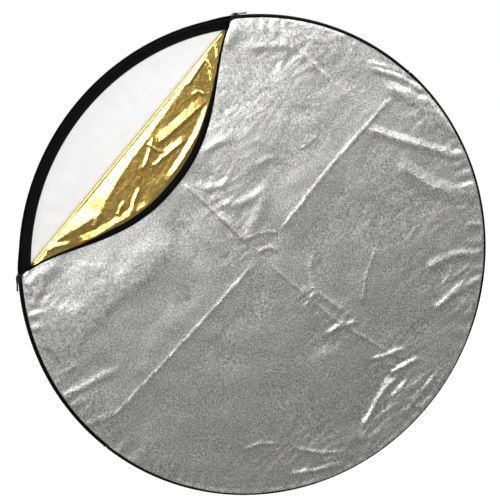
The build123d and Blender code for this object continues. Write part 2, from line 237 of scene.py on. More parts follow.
# (x, z, radius, height): patches of fine crumpling
CRUMPLES = [
    (190, -165, 45, 0.9), (310, -260, 60, 1.0), (370, -330, 70, 0.9), (340, -420, 60, 0.8),
    (-85, 140, 60, 0.7), (-60, 330, 110, 0.35), (420, 330, 80, 0.7), (490, -80, 70, 0.7),
    (-470, -270, 70, 0.6), (90, 500, 80, 0.8), (-500, -60, 60, 0.5), (110, -470, 110, 0.5),
    (400, 60, 150, 0.35), (150, 380, 160, 0.3), (-40, 20, 50, 0.5), (112, -100, 30, 1.0),
    (270, -450, 40, 1.0),
]


def near_path(x, z, path):
    """Signed distance from each place to a path, and how far along it each nearest point is, 0 to 1."""
    pts = np.array(path, float) * MM
    best = np.full(x.shape, np.inf)
    side, share = np.zeros(x.shape), np.zeros(x.shape)
    lengths = np.linalg.norm(np.diff(pts, axis=0), axis=1)
    run = np.concatenate([[0], np.cumsum(lengths)])
    for (ax, az), (bx, bz), length, before in zip(pts[:-1], pts[1:], lengths, run):
        dx, dz = (bx - ax) / length, (bz - az) / length
        s = np.clip((x - ax) * dx + (z - az) * dz, 0, length)
        ox, oz = x - ax - s * dx, z - az - s * dz
        distance = np.hypot(ox, oz)
        closer = distance < best
        best = np.where(closer, distance, best)
        side = np.where(closer, np.sign(dx * oz - dz * ox), side)
        share = np.where(closer, (before + s) / run[-1], share)
    return best * side, share


def lumps(x, z, size, seed, octaves=3):
    """Smooth noise about zero, with lumps of that size in metres."""
    k = 1 / size
    made = [noise.fractal((a * k + seed, b * k, seed * 0.7), 0.9, 2.1, octaves) for a, b in zip(x, z)]
    return np.array(made)


def ridges(x, z, size, seed, stretch=1.0, turn=0.0):
    """Crumpled noise, 0 to about 1, with sharp tops; stretch draws it out along the direction turn."""
    c, s = math.cos(turn), math.sin(turn)
    u, v = (x * c + z * s) / size / stretch, (z * c - x * s) / size

    def crumpled(a, b):
        coarse = abs(noise.noise((a + seed, b - seed, seed)))
        fine = abs(noise.noise((a * 2.3, b * 2.3, seed + 5)))
        return 1 - coarse * 2.2 - fine

    return np.clip(np.array([crumpled(a, b) for a, b in zip(u, v)]), -0.5, 1)


def taper(share, ends=0.22):
    """1 along a path's middle, down to 0 at both of its ends."""
    return smooth(share / ends) * smooth((1 - share) / ends)


def silver_relief(x, z):
    """How far the silver face stands forward of its flat place."""
    h = 1.2 * MM * lumps(x, z, 0.16, SEED) + 0.28 * MM * lumps(x, z, 0.05, SEED + 3)
    sharper = 1.15 + 0.75 * smooth((x - z + 0.1) / 0.7)         # towards the lower right
    for width, height, reach, slope, path in CREASES:
        d, share = near_path(x, z, path)
        sharp = height * np.exp(-np.abs(d) / (width * MM))
        roof = slope * np.clip(1 - np.abs(d) / (reach * MM), 0, 1)
        h += (sharp + roof) * MM * taper(share, 0.12)
    for width, height, path in PUCKERS:
        d, share = near_path(x, z, path)
        h += sharper * height * MM * np.exp(-(d / (width * MM)) ** 2) * taper(share, 0.3)
    fine = ridges(x, z, 0.022, SEED, stretch=3.0, turn=0.7)
    for cx, cz, radius, height in CRUMPLES:
        away = np.hypot(x - cx * MM, z - cz * MM) / (radius * MM)
        h += 0.7 * sharper * height * MM * np.exp(-away ** 2) * (fine - 0.3)
    r, angle = np.hypot(x, z), np.arctan2(x, z)
    gathers = np.sin(angle * 97 + 3 * np.sin(angle * 11)) * (0.6 + 0.4 * np.sin(angle * 17))
    h += 0.6 * MM * gathers * smooth((r - 0.49) / 0.045)
    return h


SET_BACK = 1.6 * MM          # of the silver face's middle, so that its wrinkles stay inside the disc
RIM_SET_BACK = 0.45 * MM     # of its rim, where there is no tape over it
FREE_HEIGHT = 0.75 * MM      # wrinkles above this are pressed down
PRESSED = 0.35
HIGHEST = 1.05 * MM          # what the fold's blend leaves room for
DEEPEST = -3.0               # millimetres, over the diffuser
OVER_CASING = 2.1            # less deep by this over the casing
OVER_CASING_TAPE = 0.75      # and by this as well on the zip's side


def front_relief(x, z):
    """The same, kept behind what the fold's blend allows and clear of the casing and hoop."""
    r = np.hypot(x, z)
    t, n = tn(x, z)
    over_tape = smooth((n + 20 * MM) / (40 * MM))
    at_rim = smooth((r - 0.44) / 0.075)
    h = silver_relief(x, z) - SET_BACK * (1 - at_rim) - RIM_SET_BACK * at_rim * (1 - over_tape)
    h = np.where(h > FREE_HEIGHT, FREE_HEIGHT + PRESSED * (h - FREE_HEIGHT), h)
    over_casing = smooth((r - 0.500) / 0.016)
    deepest = (DEEPEST + (OVER_CASING + OVER_CASING_TAPE * over_tape) * over_casing) * MM
    h = np.clip(h, deepest, HIGHEST)
    flat_by_fold = smooth((FOLD - n) / (12 * MM))
    rim = smooth((PLY_ZIP_R + 1 * MM - r) / (6 * MM))
    return h * flat_by_fold * rim


# the far edge, over the folded corner, of the slope that rises from the fold line
SLOPE_EDGE = [
    (-460, 60), (-415, 85), (-370, 115), (-330, 185), (-295, 235), (-260, 280), (-205, 355),
    (-160, 415), (-105, 495),
]
# (left, right, height, points): flat-sided folds of the corner's foil, with their width to each side
FOIL_FOLDS = [
    (18, 6, 1.5, [(-243, 259), (-209, 287), (-175, 315), (-141, 345), (-120, 364)]),
    (13, 5, 1.5, [(-230, 228), (-205, 250), (-170, 275)]),
    (12, 3, 1.6, [(-221, 174), (-180, 229), (-147, 282), (-127, 323), (-117, 369)]),
    (16, 3, 1.6, [(-437, 44), (-387, 59), (-342, 82), (-297, 109), (-247, 139)]),
    (6, 10, 1.2, [(-300, 108), (-292, 140), (-278, 172)]),
    (5, 7, 0.9, [(-330, 105), (-322, 128), (-312, 140)]),
    (5, 4, 1.1, [(-272, 205), (-262, 230), (-252, 262), (-248, 280)]),
    (4, 6, 1.0, [(-262, 268), (-240, 250), (-222, 246)]),
    (6, 5, 1.0, [(-250, 215), (-236, 224), (-222, 240)]),
    (4, 5, 1.0, [(-160, 372), (-145, 380), (-130, 372)]),
    (7, 4, 1.2, [(-172, 388), (-150, 420), (-125, 455)]),
    (4, 5, 1.3, [(-128, 455), (-117, 430), (-110, 398)]),
    (3, 4, 1.2, [(-106, 490), (-101, 470), (-101, 450)]),
    (9, 5, 1.0, [(-492, 33), (-470, 42), (-430, 50)]),
    (8, 9, 0.7, [(-385, 78), (-375, 100), (-368, 120)]),
]


LIFT_LIMIT = 4.6 * MM        # the furthest forward that the corner's foil stands


def corner_lift(t, n):
    """How far the folded corner's cloth stands forward of its flat place."""
    m = drawn(t, n)
    rim = np.sqrt(np.clip(TAPE_INNER ** 2 - t ** 2, (FOLD + 1 * MM) ** 2, None))
    share = np.clip(m / drawn(t, rim), 0, 1.2)
    x, z = plan(t, FOLD - m)
    edge_t, edge_n = tn(*(np.array(SLOPE_EDGE, float).T * MM))
    wide = np.interp(t, edge_t, FOLD - edge_n)
    rise = np.clip(0.115 * wide, 0.4 * MM, 3.6 * MM)
    lift = rise * np.clip(m / wide, 0, 1) - 0.5 * MM * np.clip((m - wide) / (60 * MM), 0, 1)
    for left, right, height, path in FOIL_FOLDS:
        d, along = near_path(x, z, path)
        side = np.where(d > 0, 1 - d / (left * MM), 1 + d / (right * MM))
        lift += height * MM * np.clip(side, 0, 1) * taper(along, 0.2)
    lift += 0.16 * MM * ridges(x, z, 0.024, SEED + 11, stretch=1.6, turn=1.1) * smooth(share / 0.2)
    lift += 0.25 * MM * lumps(x, z, 0.06, SEED + 21, octaves=2)
    off_roll = smooth(m / (3 * MM) - 1)
    off_tape = 1 - smooth((share - 0.97) / 0.03)
    return np.clip(lift, 0, LIFT_LIMIT) * off_roll * off_tape


# ================= cloth =================
CUT_INSET = 0.3 * MM         # of the modelled cloth inside its CAD outline
EDGE_CLEAR = 0.7             # of the grid's spacing is kept free inside a cloth's edge
PANEL_STEPS = 720            # outline points of the front panel
ROUND_STEPS = 540            # and of the other sheets
ROLL_ROWS = 11               # of points across the fold's roll


def panel_radius(angle):
    """The panel's outline: wider where it is bound than where the zip is."""
    into_binding = smooth((np.abs(angle) - math.radians(89.5)) / math.radians(1.5))
    return PLY_ZIP_R + (PLY_BOUND_R - PLY_ZIP_R) * into_binding


def hex_grid(radius, spacing, keep):
    """Places of an even triangular grid, as (t, n), where keep(t, n) is true."""
    rows = []
    for i, n in enumerate(np.arange(-radius, radius, spacing * 0.866)):
        t = np.arange(-radius + (spacing / 2 if i % 2 else 0), radius, spacing)
        rows.append(np.stack([t, np.full_like(t, n)], axis=1))
    points = np.concatenate(rows)
    return points[keep(points[:, 0], points[:, 1])]


def triangulate(outline, inner):
    """Triangles over a closed outline and the places inside it, all (t, n)."""
    points = np.concatenate([outline, inner])
    count = len(outline)
    edges = [(i, (i + 1) % count) for i in range(count)]
    made = delaunay_2d_cdt([Vector(p) for p in points], edges, [], 1, 1e-7)
    return np.array([tuple(v) for v in made[0]]), made[2]


def snap_to_creases(points, reach):
    """Moves the nearest grid points onto the sharp creases, so that their tops are clean lines."""
    x, z = plan(points[:, 0], points[:, 1])
    for *_, path in CREASES:
        d, _ = near_path(x, z, path)
        pts = np.array(path, float) * MM
        ends = np.stack([pts[:-1], pts[1:]], axis=1)
        close = np.flatnonzero(np.abs(d) < reach)
        for i in close:
            p = np.array([x[i], z[i]])
            found = []
            for a, b in ends:
                s = np.clip(np.dot(p - a, b - a) / np.dot(b - a, b - a), 0, 1)
                found.append(a + s * (b - a))
            x[i], z[i] = min(found, key=lambda q: np.hypot(*(q - p)))
    t, n = tn(x, z)
    return np.stack([t, n], axis=1)


def front_panel(spacing, corner_spacing):
    """The front panel as it is cut, over both sides of the fold: places, their relief and triangles."""
    angles = np.linspace(-math.pi, math.pi, PANEL_STEPS, endpoint=False)
    outline = np.stack(polar(angles, panel_radius(angles) - CUT_INSET), axis=1)
    clear = EDGE_CLEAR * spacing

    def inside(t, n):
        return np.hypot(t, n) < panel_radius(np.arctan2(t, n)) - CUT_INSET - clear

    def main(t, n):
        return inside(t, n) & (n < FOLD - ROLL_REACH - spacing * 0.6)

    def corner(t, n):
        return inside(t, n) & (n > FOLD + ROLL_REACH + corner_spacing * 0.6)

    grid = snap_to_creases(hex_grid(RIM, spacing, main), 0.5 * spacing)
    along = np.arange(-CHORD, CHORD, corner_spacing)
    roll = np.concatenate([
        np.stack([along, np.full_like(along, FOLD + m)], axis=1)
        for m in np.linspace(-ROLL_REACH, ROLL_REACH, ROLL_ROWS)
    ])
    roll = roll[inside(roll[:, 0], roll[:, 1])]
    inner = np.concatenate([grid, roll, hex_grid(RIM, corner_spacing, corner)])
    points, faces = triangulate(outline, inner)
    t, n = points[:, 0], points[:, 1]
    x, z = plan(t, n)
    forward = np.where(n < FOLD, front_relief(x, z), -corner_lift(t, n))
    return t, n, forward, faces


def round_cloth(name, radius, spacing, depth, back_facing):
    """A whole round sheet; radius(angle) gives its outline and depth(x, z) its y."""
    angles = np.linspace(-math.pi, math.pi, ROUND_STEPS, endpoint=False)
    outline = np.stack(polar(angles, radius(angles)), axis=1)

    def inside(t, n):
        return np.hypot(t, n) < radius(np.arctan2(t, n)) - EDGE_CLEAR * spacing

    points, faces = triangulate(outline, hex_grid(RIM, spacing, inside))
    x, z = plan(points[:, 0], points[:, 1])
    if back_facing:
        faces = [f[::-1] for f in faces]
    return mesh_object(name, np.stack([x, depth(x, z), z], axis=1), faces)


# ================= tapes and chain =================
TAPE_THICK = 0.5
COIL_PITCH = 1.35            # millimetres, as all of a coil's measures
COIL_WIRE = 0.33             # radius of its filament
COIL_DEPTH = 2.8             # of one half of the chain
COIL_MIDDLE = 0.5            # of its height, outwards from the chain's line
COIL_HALF_HEIGHT = 1.0
STITCH_PITCH = 3.4
STITCH_LENGTH = 2.4
STITCH_THICK = 0.28
# (radius, y) along each zip tape, from its edge on the panel to the chain
FRONT_TAPE = [(532, -3.85), (542.3, -3.85), (542.9, -4.6), (543.3, -5.5), (544.4, -6.1)]
BACK_TAPE = [(532, 3.85), (542.3, 3.85), (542.9, 4.6), (543.6, 6.0), (545.2, 7.2), (547.9, 7.75)]


def in_metres(points):
    """The same (radius, y) points, given in millimetres."""
    return [(r * MM, y * MM) for r, y in points]


def rolled(height, depth):
    """A place of the chain's own section, height outwards and depth across, as (radius, y), in metres."""
    c, s = math.cos(CHAIN_ROLL), math.sin(CHAIN_ROLL)
    return CHAIN_R + (height * c + depth * s) * MM, (-height * s + depth * c) * MM


def resample(line, step):
    """Points along an open line, its corners rounded a little, no further apart than step."""
    pts = np.array(line, float)
    for _ in range(2):
        cut = [pts[0]]
        for a, b in zip(pts[:-1], pts[1:]):
            cut += [a * 0.75 + b * 0.25, a * 0.25 + b * 0.75]
        pts = np.array(cut + [pts[-1]])
    gaps = np.linalg.norm(np.diff(pts, axis=0), axis=1)
    run = np.concatenate([[0], np.cumsum(gaps)])
    at = np.linspace(0, run[-1], max(3, int(run[-1] / step) + 1))
    return np.stack([np.interp(at, run, pts[:, k]) for k in range(2)], axis=1)


def thicken(line, thick):
    """The closed outline of a tape along a line of (radius, y) points."""
    runs = np.gradient(line, axis=0)
    runs /= np.linalg.norm(runs, axis=1)[:, None]
    side = np.stack([-runs[:, 1], runs[:, 0]], axis=1) * thick / 2
    return np.concatenate([line + side, (line - side)[::-1]])


def swept(name, section, angles, place, wobble=None):
    """A closed (radius, y) section carried round the rim. place(t, n, y) gives the rest position."""
    cols = len(section)
    a = np.repeat(angles, cols)
    r = np.tile(section[:, 0], len(angles))
    y = np.tile(section[:, 1], len(angles))
    if wobble is not None:
        r, y = wobble(a, r, y)
    t, n = polar(a, r)
    points = place(t, n, y)
    faces = []
    closed = abs(angles[-1] - angles[0]) > 2 * math.pi - 1e-6
    for i in range(len(angles) - 1):
        for j in range(cols):
            k = (j + 1) % cols
            faces.append((i * cols + j, i * cols + k, (i + 1) * cols + k, (i + 1) * cols + j))
    if closed:
        keep = (len(angles) - 1) * cols
        points = points[:keep]
        faces = [tuple(v % keep for v in f) for f in faces]
    else:
        faces.append(tuple(range(cols))[::-1])
        last = (len(angles) - 1) * cols
        faces.append(tuple(last + j for j in range(cols)))
    obj = mesh_object(name, points, faces)
    across = np.linalg.norm(np.diff(section, axis=0, append=section[:1]), axis=1)
    v = np.concatenate([[0], np.cumsum(across)[:-1]])
    run = np.stack([a * RIM, np.tile(v, len(angles)), np.zeros(len(a))], axis=1)[: len(points)]
    layer = obj.data.attributes.new("run", "FLOAT_VECTOR", "POINT")
    layer.data.foreach_set("vector", run.astype(np.float32).ravel())
    return obj


def flat_place(t, n, y):
    x, z = plan(t, n)
    return np.stack([x, y, z], axis=1)


def tape(name, line, step, thick, angles, place, wobble=None):
    """A tape carried round the rim, its section lying along a line of (radius, y) points in metres."""
    section = thicken(resample(line, step * MM), thick * MM)
    return swept(name, section, angles, place, wobble)


def zip_tape_line(points, turn_in, edge):
    """The line of a zip tape, ending where it turns in under its half of the chain."""
    return in_metres(points) + [rolled(-0.75, turn_in), rolled(-0.75, edge)]


def coil(name, angles_deg, near, side, place, phase=0.0):
    """One half of the nylon chain as the coil it is: a flattened helix, wound round the rim."""
    start, end = (math.radians(a) for a in angles_deg)
    turns = int((end - start) * CHAIN_R / (COIL_PITCH * MM))
    per_turn, sides, wire = 10, 5, COIL_WIRE
    u = np.arange(turns * per_turn + 1) / per_turn
    a = start + (u + phase) * COIL_PITCH * MM / CHAIN_R
    loop = 2 * math.pi * u
    near_at = np.interp(np.degrees(a), near[0], near[1])
    depth = side * (near_at + wire + (COIL_DEPTH - 2 * wire) * (0.5 - 0.5 * np.cos(loop)))
    height = COIL_MIDDLE + (COIL_HALF_HEIGHT - wire) * np.sin(loop)
    rings = []
    for k in range(sides):
        b = 2 * math.pi * k / sides
        radial, along = math.cos(b) * wire, math.sin(b) * wire
        h = height + radial * np.sin(loop)
        d = depth - side * radial * np.cos(loop)
        r, y = rolled(h, d)
        t, n = polar(a + along * MM / CHAIN_R, r)
        rings.append(place(t, n, y))
    points = np.stack(rings, axis=1).reshape(-1, 3)
    faces = []
    for i in range(len(u) - 1):
        for k in range(sides):
            q = (k + 1) % sides
            faces.append((i * sides + k, i * sides + q, (i + 1) * sides + q, (i + 1) * sides + k))
    faces.append(tuple(range(sides))[::-1])
    faces.append(tuple((len(u) - 1) * sides + k for k in range(sides)))
    return mesh_object(name, points, faces)


def stitches(name, radius, y, angles_deg, place):
    """A row of lockstitch round the rim, each stitch a small rounded bar."""
    start, end = (math.radians(a) for a in angles_deg)
    step = STITCH_PITCH * MM / radius
    count = int((end - start) / step)
    mids = start + (np.arange(count) + 0.5) * step
    half = STITCH_LENGTH * MM / 2 / radius
    along = np.array([-1.0, -0.6, 0.6, 1.0])
    girth = np.array([0.35, 1.0, 1.0, 0.35])
    sides = 5
    points, faces = [], []
    for k, (s, g) in enumerate(zip(along, girth)):
        for q in range(sides):
            b = 2 * math.pi * q / sides
            t, n = polar(mids + s * half, radius + math.cos(b) * STITCH_THICK * g * MM)
            points.append(place(t, n, y + math.sin(b) * STITCH_THICK * g * MM + np.zeros_like(t)))
    points = np.stack(points, axis=1).reshape(-1, 3)
    each = len(along) * sides
    for i in range(count):
        o = i * each
        for k in range(len(along) - 1):
            low, high = o + k * sides, o + (k + 1) * sides
            for q in range(sides):
                p = (q + 1) % sides
                faces.append((low + q, low + p, high + p, high + q))
        faces.append(tuple(o + q for q in range(sides))[::-1])
        faces.append(tuple(o + each - sides + q for q in range(sides)))
    return mesh_object(name, points, faces)


# ================= materials =================

class Nodes:
    """A material's node tree, with short ways to add to it."""

    def __init__(self, name):
        self.material = bpy.data.materials.new(name)
        self.material.use_nodes = True
        self.tree = self.material.node_tree
        self.shader = self.tree.nodes["Principled BSDF"]
        self.output = self.tree.nodes["Material Output"]

    def add(self, kind, **settings):
        node = self.tree.nodes.new(kind)
        for key, value in settings.items():
            if key in node.inputs:
                node.inputs[key].default_value = value
            else:
                setattr(node, key, value)
        return node

    def link(self, a, b):
        self.tree.links.new(a, b)

    def set(self, **values):
        for key, value in values.items():
            self.shader.inputs[key.replace("_", " ")].default_value = value

    def noise(self, scale, detail=2.0, roughness=0.5):
        node = self.add("ShaderNodeTexNoise", Scale=scale, Detail=detail, Roughness=roughness)
        self.link(self.place(), node.inputs["Vector"])
        return node.outputs["Fac"]

    def place(self):
        if not hasattr(self, "coords"):
            self.coords = self.add("ShaderNodeTexCoord")
        return self.coords.outputs["Object"]

    def run(self):
        node = self.add("ShaderNodeAttribute")
        node.attribute_name = "run"
        return node.outputs["Vector"]

    def wave(self, vector, scale, direction):
        node = self.add("ShaderNodeTexWave", Scale=scale, Distortion=0.3)
        node.bands_direction = direction
        self.link(vector, node.inputs["Vector"])
        return node.outputs["Fac"]

    def math(self, operation, a, b):
        node = self.add("ShaderNodeMath")
        node.operation = operation
        for socket, value in zip(node.inputs, (a, b)):
            if isinstance(value, (int, float)):
                socket.default_value = value
            else:
                self.link(value, socket)
        return node.outputs[0]

    def ramp(self, fac, stops):
        node = self.add("ShaderNodeValToRGB")
        elements = node.color_ramp.elements
        while len(elements) < len(stops):
            elements.new(0.5)
        for element, (position, colour) in zip(elements, stops):
            element.position = position
            element.color = (*colour, 1)
        self.link(fac, node.inputs["Fac"])
        return node.outputs["Color"]

    def colour(self, fac, stops):
        self.link(self.ramp(fac, stops), self.shader.inputs["Base Color"])

    def roughness(self, fac, low, high):
        grey = self.ramp(fac, [(0.3, (low,) * 3), (0.7, (high,) * 3)])
        self.link(grey, self.shader.inputs["Roughness"])

    def bump(self, height, distance, strength):
        node = self.add("ShaderNodeBump", Strength=strength, Distance=distance)
        self.link(height, node.inputs["Height"])
        self.link(node.outputs["Normal"], self.shader.inputs["Normal"])


def silver_material():
    """Aluminised film on cloth: bright, finely pebbled by the threads under it. Its colour follows the
    pebbles' height and is darker in their hollows, as painted shade.
    """
    m = Nodes("silver_foil_cloth")
    m.set(Metallic=0.94)
    grain = m.noise(620, 2, 0.7)
    pebble = m.noise(260, 3, 0.65)
    pebble_height_and_painted_shade = m.math("ADD", m.math("MULTIPLY", grain, 0.4), m.math("MULTIPLY", pebble, 0.6))
    # painted shade: the colour is darker where the pebbled bump is low, in its hollows
    m.colour(pebble_height_and_painted_shade, [
        (0.38, (0.31, 0.308, 0.297)), (0.5, (0.56, 0.556, 0.538)), (0.62, (0.93, 0.925, 0.90)),
    ])
    m.roughness(pebble, 0.27, 0.34)
    m.bump(pebble_height_and_painted_shade, 0.0006, 0.5)
    return m.material


def gold_material():
    """Gold film: mirror bright and thin enough to show every crinkle. Its colour is darker in the crinkles'
    hollows, as painted shade, mixed with random tone.
    """
    m = Nodes("gold_foil_cloth")
    m.set(Metallic=1.0)
    fine = m.noise(620, 2, 0.6)
    crinkle = m.noise(90, 4, 0.65)
    pebble = m.noise(300, 3, 0.6)
    shade = m.math("ADD", m.math("MULTIPLY", crinkle, 0.5), m.math("MULTIPLY", pebble, 0.5))
    # painted shade: half of this tone follows the crinkles' bump height, so their hollows are painted
    # darker; the other half is random tone
    m.colour(shade, [(0.36, (0.68, 0.42, 0.09)), (0.64, (1.0, 0.74, 0.24))])
    m.roughness(fine, 0.12, 0.19)
    height = m.math("ADD", m.math("MULTIPLY", crinkle, 1.0), m.math("MULTIPLY", fine, 0.22))
    m.bump(height, 0.0007, 0.5)
    return m.material


def woven_cloth(name, low, high, roughness, translucent=0.0):
    """Plain coated nylon: a fine square weave under a matt coat, a little uneven."""
    m = Nodes(name)
    m.set(Roughness=roughness)
    m.colour(m.noise(18, 4, 0.6), [(0.3, low), (0.7, high)])
    weave = m.math("MULTIPLY", m.wave(m.place(), 330, "X"), m.wave(m.place(), 330, "Z"))
    m.bump(m.math("ADD", weave, m.noise(900, 2, 0.5)), 0.00012, 0.7)
    if translucent:
        through = m.add("ShaderNodeBsdfTranslucent")
        through.inputs["Color"].default_value = (*high, 1)
        mix = m.add("ShaderNodeMixShader")
        mix.inputs[0].default_value = translucent
        m.link(m.shader.outputs[0], mix.inputs[1])
        m.link(through.outputs[0], mix.inputs[2])
        m.link(mix.outputs[0], m.output.inputs["Surface"])
    return m.material


def tape_material(name, ribs=420):
    """Black woven tape: ribs across it, crossed by finer warp threads."""
    m = Nodes(name)
    m.set(Roughness=0.82)
    m.shader.inputs["Specular IOR Level"].default_value = 0.08
    along = m.run()
    rib = m.wave(along, ribs, "X")
    warp = m.wave(along, ribs * 1.6, "Y")
    m.colour(m.noise(60, 3, 0.6), [(0.3, (0.0012, 0.0012, 0.0014)), (0.7, (0.0032, 0.0032, 0.0036))])
    m.bump(m.math("MULTIPLY", rib, warp), 0.00015, 0.8)
    return m.material


def plain_material(name, low, high, roughness, metallic=0.0, scale=120):
    """Moulded or enamelled pieces: slight colour drift, with a fine surface."""
    m = Nodes(name)
    m.set(Metallic=metallic)
    m.colour(m.noise(scale, 4, 0.6), [(0.35, low), (0.65, high)])
    fine = m.noise(scale * 12, 2, 0.5)
    m.roughness(fine, roughness * 0.85, roughness * 1.15)
    m.bump(fine, 0.00005, 0.6)
    return m.material


def enamel_material():
    """Black enamel on zinc, rubbed to bare metal in small patches."""
    m = Nodes("black_enamel")
    rub = m.noise(260, 5, 0.7)
    worn = m.ramp(rub, [(0.62, (0, 0, 0)), (0.70, (1, 1, 1))])
    colour = m.add("ShaderNodeMix")
    colour.data_type = "RGBA"
    m.link(worn, colour.inputs[0])
    colour.inputs[6].default_value = (0.012, 0.012, 0.013, 1)
    colour.inputs[7].default_value = (0.30, 0.30, 0.31, 1)
    m.link(colour.outputs[2], m.shader.inputs["Base Color"])
    m.link(worn, m.shader.inputs["Metallic"])
    m.roughness(m.noise(900, 2, 0.5), 0.26, 0.38)
    m.bump(m.noise(1200, 2, 0.5), 0.00004, 0.6)
    return m.material


SILVER = silver_material()
GOLD = gold_material()
WHITE_CLOTH = woven_cloth("white_cloth", (0.86, 0.86, 0.855), (0.92, 0.92, 0.915), 0.75)
BLACK_CLOTH = woven_cloth("black_cloth", (0.013, 0.013, 0.014), (0.024, 0.024, 0.026), 0.62)
DIFFUSER_CLOTH = woven_cloth("diffuser_cloth", (0.84, 0.84, 0.845), (0.89, 0.89, 0.895), 0.7, 0.35)
TAPE = tape_material("black_zip_tape")
CASING = tape_material("black_casing_tape", ribs=300)
BINDING = tape_material("black_binding_tape", ribs=360)
NYLON = plain_material("black_nylon", (0.004, 0.004, 0.0045), (0.010, 0.010, 0.011), 0.42)
THREAD = plain_material("black_thread", (0.006, 0.006, 0.0065), (0.014, 0.014, 0.015), 0.7, scale=400)
SILVER_THREAD = plain_material("grey_thread", (0.34, 0.34, 0.35), (0.48, 0.48, 0.49), 0.55, scale=400)
SPRING_STEEL = plain_material("spring_steel", (0.22, 0.24, 0.28), (0.36, 0.37, 0.40), 0.35, metallic=1.0)
ZINC = plain_material("zinc_plate", (0.50, 0.50, 0.50), (0.66, 0.66, 0.67), 0.4, metallic=1.0)
ALUMINIUM = plain_material("rivet_aluminium", (0.66, 0.66, 0.67), (0.78, 0.78, 0.79), 0.32, metallic=1.0)
ENAMEL = enamel_material()

# ================= pieces: cloth =================
# the two Y between which a piece would go over from following root to following the corner; finish_piece
# takes them but only bakes the piece in place
BLEND_SHEETS = (SILVER_Y - 1.2 * MM, 2 * FOLD_Y - SILVER_Y + 1.2 * MM)
BLEND_TAPE = (-6.6 * MM, -7.8 * MM)

t, n, forward, faces = front_panel(4.0 * MM, 2.7 * MM)
silver = mesh_object("front_panel_silver", fold(t, n, SILVER_Y - forward), faces)
finish_piece(silver, BLEND_SHEETS, "silver_foil_cloth", SILVER, ["front_ply_silver", "corner_ply_silver"])

gold = mesh_object("front_panel_gold", fold(t, n, SILVER_Y - forward + PLY), [f[::-1] for f in faces])
finish_piece(gold, BLEND_SHEETS, "gold_foil_cloth", GOLD, ["front_ply_gold", "corner_ply_gold"])


def diffuser_depth(x, z):
    """The diffuser: taut, with slight pulls at the casing, pressed back where the corner is folded."""
    r, angle = np.hypot(x, z), np.arctan2(x, z)
    at_casing = smooth((r - 0.40) / 0.11) * (1 - smooth((r - 0.505) / 0.012))
    pulls = 0.35 * MM * np.sin(angle * 61 + 2 * np.sin(angle * 9)) * at_casing
    waves = 0.5 * MM * lumps(x, z, 0.2, SEED + 31, 2) * smooth((0.515 - r) / 0.05)
    t, n = tn(x, z)
    by_corner = smooth((n - FOLD + 20 * MM) / (40 * MM)) * (1 - smooth((r - 0.49) / 0.025))
    return pulls + waves + 1.6 * MM * by_corner


diffuser = round_cloth("diffuser", lambda a: np.full_like(a, DIFFUSER_R), 6.5 * MM, diffuser_depth, False)
finish_piece(diffuser, "root", "diffuser_cloth", DIFFUSER_CLOTH, ["diffuser_fabric"])


def back_relief(x, z):
    """The back panel's wrinkles: the same packing creases, softer, and gathers at the rim."""
    h = 0.8 * MM * lumps(x, z, 0.15, SEED + 41) + 0.25 * MM * lumps(x, z, 0.04, SEED + 43)
    for width, height, reach, slope, path in CREASES:
        d, share = near_path(x, z, [(b, a) for a, b in path])
        roof = slope * np.clip(1 - np.abs(d) / (reach * MM), 0, 1)
        h += (height * np.exp(-np.abs(d) / (width * MM)) + roof) * MM * taper(share)
    for width, height, path in PUCKERS[::2]:
        d, share = near_path(x, z, [(b, a) for a, b in path])
        h += height * MM * np.exp(-(d / (width * MM)) ** 2) * taper(share, 0.3)
    r, angle = np.hypot(x, z), np.arctan2(x, z)
    h += 0.4 * MM * np.sin(angle * 83 + 3 * np.sin(angle * 13)) * smooth((r - 0.48) / 0.05)
    h = np.clip(h - 0.7 * MM, np.where(r > 0.515, -0.5, -1.8) * MM, 0.9 * MM)
    return h * smooth((PLY_ZIP_R + 1 * MM - r) / (6 * MM))


BACK_SPACING = 5 * MM        # the same for both plies, so that neither comes through the other
white = round_cloth("back_panel_white", lambda a: panel_radius(a) - CUT_INSET, BACK_SPACING,
                    lambda x, z: BACK_Y - PLY + back_relief(x, z), False)
finish_piece(white, "root", "white_cloth", WHITE_CLOTH, ["back_ply_white"])

black = round_cloth("back_panel_black", lambda a: panel_radius(a) - CUT_INSET, BACK_SPACING,
                    lambda x, z: BACK_Y + back_relief(x, z), True)
finish_piece(black, "root", "black_cloth", BLACK_CLOTH, ["back_ply_black"])

# ================= pieces: tapes, chain and stitching =================
CROSSING = math.acos(FOLD / CHAIN_R)        # where the fold line meets the chain
OPEN_DEG = 41.9                             # the back tape's edge is free this far each way
STANDS_IN = 2.4                             # millimetres, of the back tape's free edge
full_turn = np.linspace(-math.pi, math.pi, 1081)
zip_run = np.unique(np.concatenate([
    np.linspace(-ZIP_HALF_SPAN, ZIP_HALF_SPAN, 901),
    *(side * CROSSING + np.radians(np.linspace(-4, 4, 201)) for side in (-1, 1)),
]))

casing_front = [
    (521, -0.35), (528, -0.36), (532, -0.42), (535, -1.4), (537.5, -2.9), (541, -3.15), (543.3, -2.9),
    (543.75, -1.5),
]
casing_line = in_metres(casing_front + [(r, -y) for r, y in casing_front[::-1]])
casing = tape("hoop_casing_tape", casing_line, 1.6, 0.45, full_turn, flat_place)
finish_piece(casing, "root", "casing_tape", CASING, ["hoop_casing"])


def eased(a, r, y):
    """Where the zip is open, nothing pulls the back tape outwards, and its edge stands in a little."""
    free = smooth((math.radians(OPEN_DEG) - np.abs(a)) / math.radians(6))
    return r - free * STANDS_IN * MM * smooth((r - 0.540) / 0.006), y


